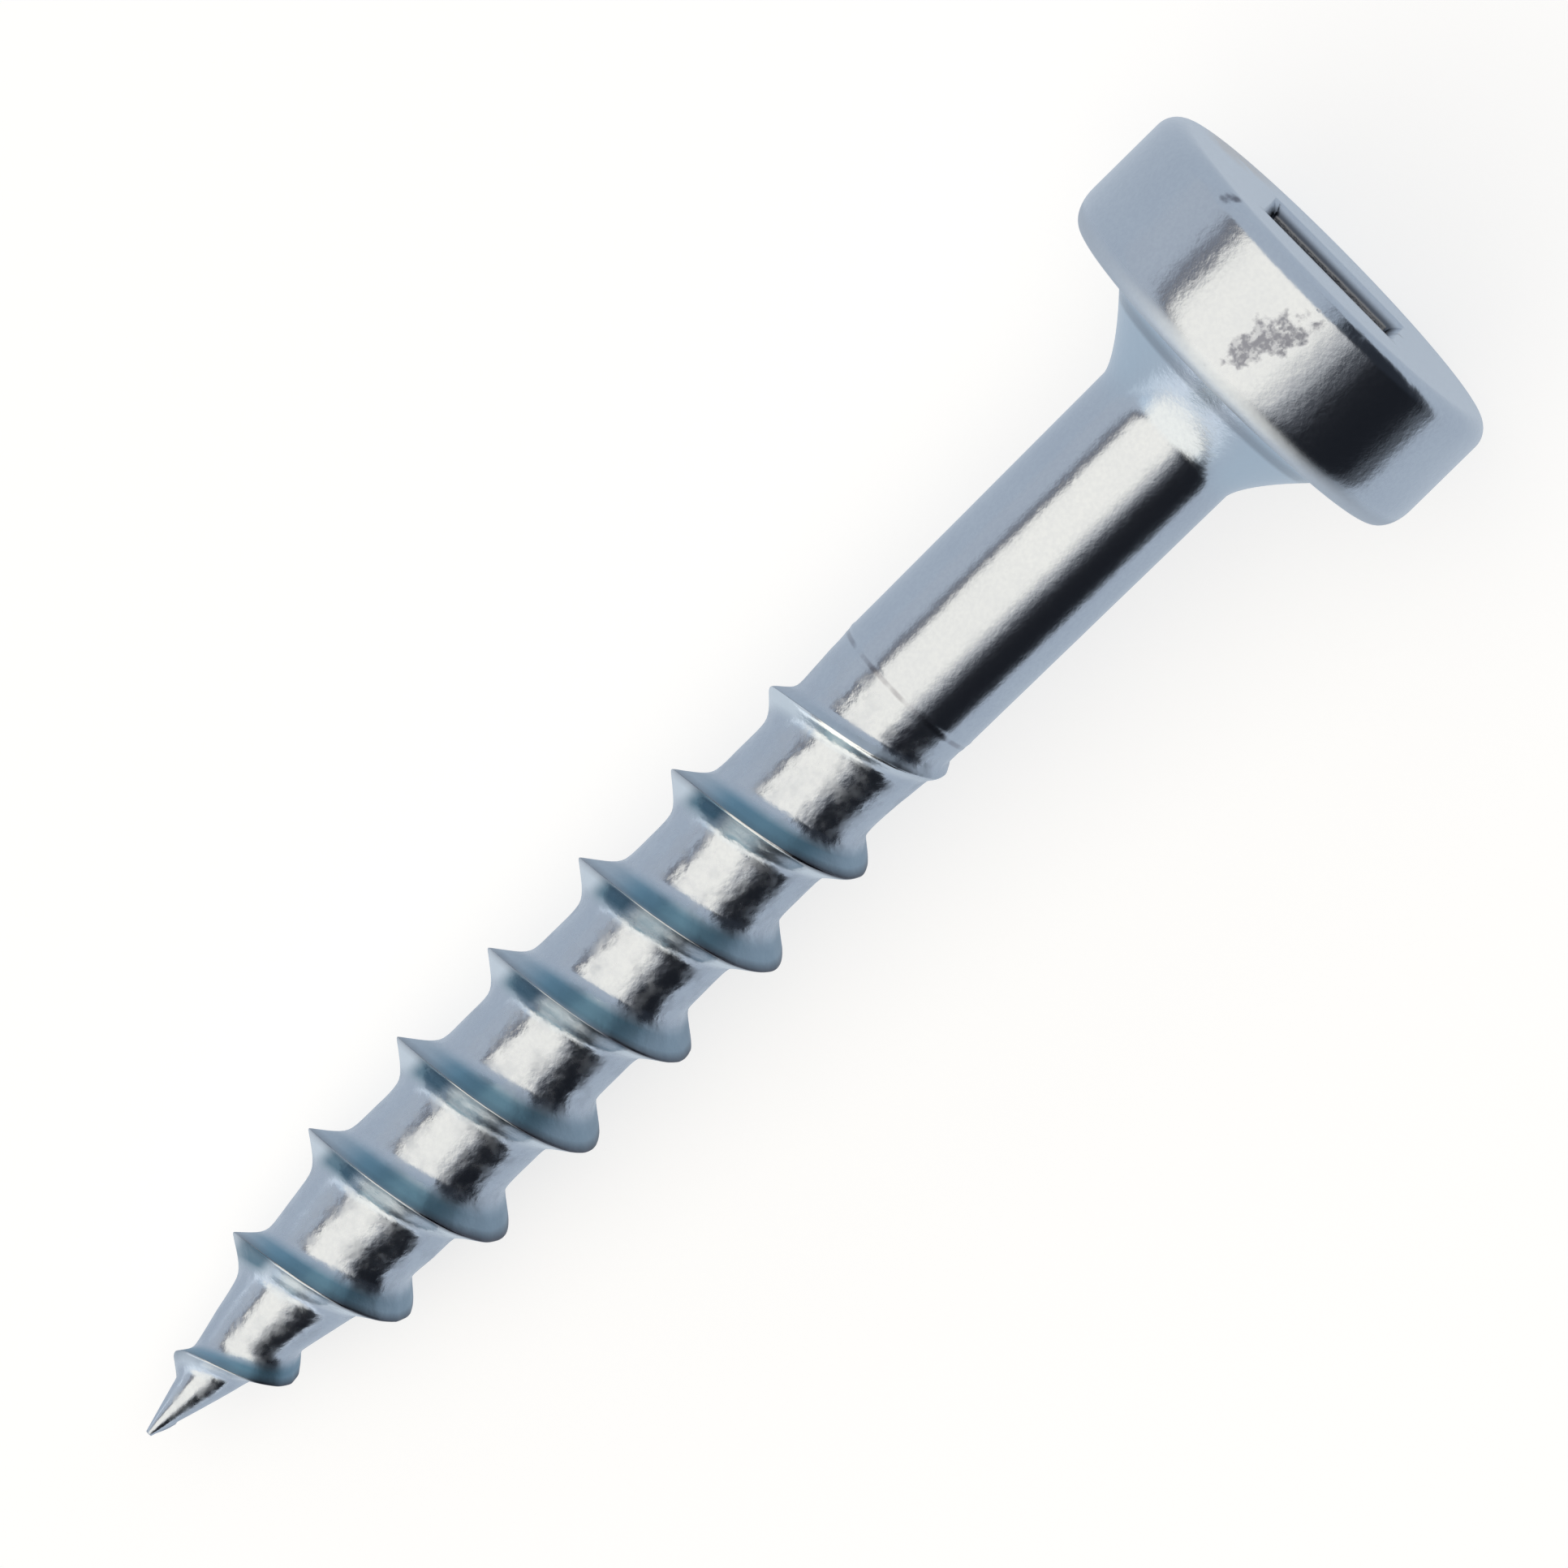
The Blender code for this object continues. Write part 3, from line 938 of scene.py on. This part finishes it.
def thread_colour(zinc, plain):
    """Colour the ridges: a teal tint on the flanks towards the head, partly painted shade, a painted
    highlight on the others with a stretch of painted shade, and a painted dark reflection along the edge.
    """
    grown = zinc.rise(zinc.z, RIDGE_GROWN_Z)
    strength = zinc.math("MULTIPLY_ADD", zinc.rise(zinc.y, TEAL_LEFT_Y), -TEAL_LEFT_LOSS, 1.0)
    strength = zinc.math("MULTIPLY_ADD", zinc.rise(zinc.y, TEAL_RIGHT_Y), -TEAL_RIGHT_LOSS, strength)
    teal = zinc.product(zinc.head_side, strength, zinc.at_least(grown, FIRST_RIDGE_TEAL))
    # teal tint, partly painted shade, fading towards both sides
    colour = zinc.mix(teal, plain, TEAL_TINT_AND_SHADE)
    point_side = zinc.math("MAXIMUM", zinc.product(zinc.flank, -1.0), 0.0)
    # painted highlight on the flanks towards the point
    colour = zinc.mix(point_side, colour, FLANK_PAINTED_HIGHLIGHT)
    stretch = zinc.product(zinc.rise(zinc.y, SHADED_FROM_Y), zinc.rise(zinc.y, SHADED_TO_Y))
    # a stretch of painted shade on those flanks
    colour = zinc.mix(zinc.product(stretch, grown, point_side), colour, SHADED_FLANK)
    edge = zinc.at_least(zinc.rise(zinc.y, CREST_DARKER_Y), CREST_LEAST)
    # painted dark reflection along the crest, darker on the -Y side
    return zinc.mix(zinc.product(edge, grown, zinc.crest), colour, CREST_PAINTED_REFLECTION)


def zinc_colour(zinc, dull_and_reflection, under):
    """Colour of the whole screw, with its patches, spots and lines, several of them painted shade, highlights
    and reflections.
    """
    layers = [
        # painted bluer reflection on the neck's sides
        (neck_sides(zinc), NECK_SHARE, NECK_SIDE_REFLECTION),
        # painted shade in the groove at the shank's end
        (shank_end_shade_line(zinc), LINE_SHARE, GROOVE_SHADE_COLOUR),
        # painted highlight on the rounded edge under the head
        (under, UNDER_EDGE_SHARE, UNDER_EDGE_PAINTED_HIGHLIGHT),
        # painted dark reflection of the camera, in the dulled patch
        (dull_and_reflection, CAMERA_REFLECTION_SHARE, CAMERA_REFLECTION_COLOUR),
        (rim_stain(zinc), STAIN_SHARE, STAIN_COLOUR),
        # painted shade in the drive recess
        (recess_shade(zinc), 1.0, RECESS_SHADE_COLOUR),
    ]
    # painted shade at the dent in the rim and on the recess's edge
    for spot, size in NICK_SHADE_SPOTS:
        layers.append((near_spot(zinc, spot, size), NICK_SHARE, NICK_SHADE_COLOUR))
    colour = thread_colour(zinc, plain_colour(zinc))
    for mask, share, tint in layers:
        colour = zinc.mix(zinc.product(mask, share), colour, tint)
    return colour


def zinc_roughness(zinc, dull_and_reflection, under, on_root):
    """Roughness: a little uneven all over, and duller where the screw is worn or rolled."""
    blotches = zinc.rise(zinc.noise(*BLOTCH_NOISE), BLOTCH_NOISE_LIMITS)
    layers = [
        (dull_and_reflection, DULL_ROUGHNESS),
        (zinc.product(blotches, on_root), BLOTCH_ROUGHNESS),
        (under, UNDER_EDGE_ROUGHNESS),
        (zinc.head_side, HEAD_SIDE_ROUGHNESS),
    ]
    rough = zinc.math("MULTIPLY_ADD", zinc.fine, FINE_ROUGHNESS, LEAST_ROUGHNESS)
    for mask, more in layers:
        rough = zinc.math("MULTIPLY_ADD", mask, more, rough)
    return rough


def zinc_bumps(zinc, dull_and_reflection, on_root):
    """Height of the fine bumps in millimetres, stronger on the root."""
    height = zinc.product(dull_and_reflection, -DULL_SUNK)
    for settings, everywhere, on_root_too in BUMPS:
        size = zinc.math("MULTIPLY_ADD", on_root, on_root_too, everywhere)
        height = zinc.math("MULTIPLY_ADD", zinc.noise(*settings), size, height)
    return height


def zinc_material():
    """Bright zinc: cool and slightly blue, bluer on the thread's flanks, with fine unevenness, and with
    painted shade, highlights and reflections in its colour.
    """
    material = bpy.data.materials.new("bright_zinc_with_painted_light")
    material.use_nodes = True
    tree = material.node_tree
    zinc = ZincNodes(tree)
    dull_and_reflection = dull_and_reflection_mask(zinc)
    under = under_edge(zinc)
    off_flank = zinc.math("MULTIPLY_ADD", zinc.math("ABSOLUTE", zinc.flank), -FLANK_CALM, 1.0)
    on_root = zinc.product(zinc.rise(zinc.z, THREADED_Z), off_flank)
    bump = tree.nodes.new("ShaderNodeBump")
    bump.inputs["Distance"].default_value = MM
    bump.inputs["Strength"].default_value = 1.0
    zinc.fill(bump.inputs["Height"], zinc_bumps(zinc, dull_and_reflection, on_root))
    shader = tree.nodes["Principled BSDF"]
    shader.inputs["Metallic"].default_value = 1.0
    zinc.fill(shader.inputs["Base Color"], zinc_colour(zinc, dull_and_reflection, under))
    zinc.fill(shader.inputs["Roughness"], zinc_roughness(zinc, dull_and_reflection, under, on_root))
    zinc.fill(shader.inputs["Normal"], bump.outputs["Normal"])
    return material


def floor_material():
    """White for the camera, and darker and bluer where the metal mirrors it, with a painted shadow of the
    dark card and a painted pool of light beyond the point.
    """
    material = bpy.data.materials.new("floor_white")
    material.use_nodes = True
    tree = material.node_tree
    tree.nodes.clear()
    nodes = Nodes(tree)
    path = tree.nodes.new("ShaderNodeLightPath")
    camera = path.outputs["Is Camera Ray"]
    in_metal = nodes.math("ADD", path.outputs["Is Glossy Ray"], path.outputs["Is Transmission Ray"])
    in_metal = nodes.math("MINIMUM", in_metal, 1.0)
    x, y = nodes.coordinates("Object")[:2]
    # painted shadow of the dark card on the floor, seen only in the metal
    card_shadow = nodes.rise(y, CARD_SHADOW_Y)
    # painted pool of light on the floor beyond the point, seen only in the metal
    beyond = nodes.product(nodes.rise(x, BEYOND_POINT_X), nodes.rise(nodes.math("ABSOLUTE", y), IN_LINE_Y))
    mirrored = nodes.mix(card_shadow, FLOOR_MIRRORED, FLOOR_IN_CARD_SHADOW)
    mirrored = nodes.mix(beyond, mirrored, FLOOR_LIT_BEYOND_POINT)
    diffuse = tree.nodes.new("ShaderNodeBsdfDiffuse")
    nodes.fill(diffuse.inputs["Color"], nodes.mix(camera, mirrored, FLOOR_SEEN))
    # the glow fades in the card's painted shadow
    outside_card_shadow = nodes.math("MULTIPLY_ADD", card_shadow, -GLOW_LOSS_IN_CARD_SHADOW, 1.0)
    # the glow is raised in the painted pool of light beyond the point
    glowing = nodes.math("MULTIPLY_ADD", beyond, GLOW_LIT_BEYOND_POINT, GLOW)
    glowing = nodes.product(glowing, outside_card_shadow, in_metal)
    glow = tree.nodes.new("ShaderNodeEmission")
    nodes.fill(glow.inputs["Color"], nodes.mix(camera, GLOW_MIRRORED, GLOW_SEEN))
    nodes.fill(glow.inputs["Strength"], nodes.math("MULTIPLY_ADD", camera, FLOOR_SEEN_GLOW, glowing))
    both = tree.nodes.new("ShaderNodeAddShader")
    nodes.fill(both.inputs[0], diffuse.outputs[0])
    nodes.fill(both.inputs[1], glow.outputs[0])
    output = tree.nodes.new("ShaderNodeOutputMaterial")
    nodes.fill(output.inputs["Surface"], both.outputs[0])
    return material


def add_floor():
    """A wide white floor at z = 0."""
    shape = bmesh.new()
    bmesh.ops.create_grid(shape, x_segments=1, y_segments=1, size=FLOOR_HALF_SIZE)
    mesh = bpy.data.meshes.new("floor")
    shape.to_mesh(mesh)
    shape.free()
    mesh.materials.append(floor_material())
    plane = bpy.data.objects.new("floor", mesh)
    bpy.context.scene.collection.objects.link(plane)


def light_zones(nodes, share, table):
    """Look up the light of one table by its share of the whole turn."""
    stops = [((angle + 180) / 360, tuple(c / LIGHT_STRENGTH for c in colour)) for angle, colour in table]
    return nodes.ramp(share, stops)


def add_light():
    """A long softbox overhead, a pale wall on the +Y side and a dark card on the -Y side."""
    world = bpy.data.worlds.new("soft_studio")
    bpy.context.scene.world = world
    world.use_nodes = True
    tree = world.node_tree
    tree.nodes.clear()
    nodes = Nodes(tree)
    x, y, z = nodes.coordinates("Generated")
    aside = nodes.product(y, -1.0)
    turned = nodes.math("ARCTAN2", aside, z)
    turned_share = nodes.math("MULTIPLY_ADD", turned, 1 / math.tau, 0.5)
    leaned = nodes.math("ARCTAN2", aside, nodes.math("ADD", z, 1.0))
    leaned_share = nodes.math("MULTIPLY_ADD", leaned, 2 / math.tau, 0.5)
    zones = light_zones(nodes, turned_share, LIGHT_BY_ANGLE)
    head_end = light_zones(nodes, leaned_share, HEAD_END_BY_ANGLE)
    zones = nodes.mix(nodes.rise(x, HEAD_END_X), zones, head_end)
    point_end = light_zones(nodes, leaned_share, POINT_END_BY_ANGLE)
    zones = nodes.mix(nodes.rise(x, POINT_END_X), zones, point_end)
    camera = tree.nodes.new("ShaderNodeLightPath").outputs["Is Camera Ray"]
    strength = nodes.math("MULTIPLY_ADD", camera, 1.0 - LIGHT_STRENGTH, LIGHT_STRENGTH)
    background = tree.nodes.new("ShaderNodeBackground")
    nodes.fill(background.inputs["Color"], nodes.mix(camera, zones, BACKDROP_SEEN))
    nodes.fill(background.inputs["Strength"], strength)
    output = tree.nodes.new("ShaderNodeOutputWorld")
    nodes.fill(output.inputs["Surface"], background.outputs[0])


def add_camera(matrix):
    """Look at the screw from almost straight above, turned so that its head points up and to the right."""
    towards_head = Vector((matrix[0][2], matrix[1][2], matrix[2][2])).normalized()
    upwards = -Vector((matrix[0][0], matrix[1][0], matrix[2][0])).normalized()
    rightwards = Vector((0.0, -1.0, 0.0))
    along = towards_head * math.cos(CAMERA_LEAN) - upwards * math.sin(CAMERA_LEAN)
    back = towards_head * math.sin(CAMERA_LEAN) + upwards * math.cos(CAMERA_LEAN)
    cosine, sine = Vector(AXIS_DIRECTION).normalized()
    right = cosine * along + sine * rightwards
    up = sine * along - cosine * rightwards
    middle = matrix @ Vector((0.0, 0.0, -OVERALL_LENGTH / 2))
    across = (FRAME_PIXELS / 2 - MIDDLE_PIXEL[0]) / PIXELS_PER_MM * MM
    above = (MIDDLE_PIXEL[1] - FRAME_PIXELS / 2) / PIXELS_PER_MM * MM
    place = middle + right * across + up * above + back * CAMERA_DISTANCE * MM
    data = bpy.data.cameras.new("camera")
    data.sensor_width = SENSOR_WIDTH
    data.lens = SENSOR_WIDTH * CAMERA_DISTANCE / (FRAME_PIXELS / PIXELS_PER_MM)
    data.clip_start = CLIP_START
    data.clip_end = CLIP_END
    view = bpy.data.objects.new("camera", data)
    bpy.context.scene.collection.objects.link(view)
    world = Matrix.Identity(4)
    for row in range(3):
        world[row][0] = right[row]
        world[row][1] = up[row]
        world[row][2] = back[row]
        world[row][3] = place[row]
    view.matrix_world = world
    bpy.context.scene.camera = view


def main():
    """Build the scene."""
    bpy.context.scene.view_settings.view_transform = "Standard"
    matrix = screw_matrix()
    screw = build_screw(matrix)
    screw.data.materials.append(zinc_material())
    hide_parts("pocket_screw")
    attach(screw, "root")
    add_floor()
    add_light()
    add_camera(matrix)


main()
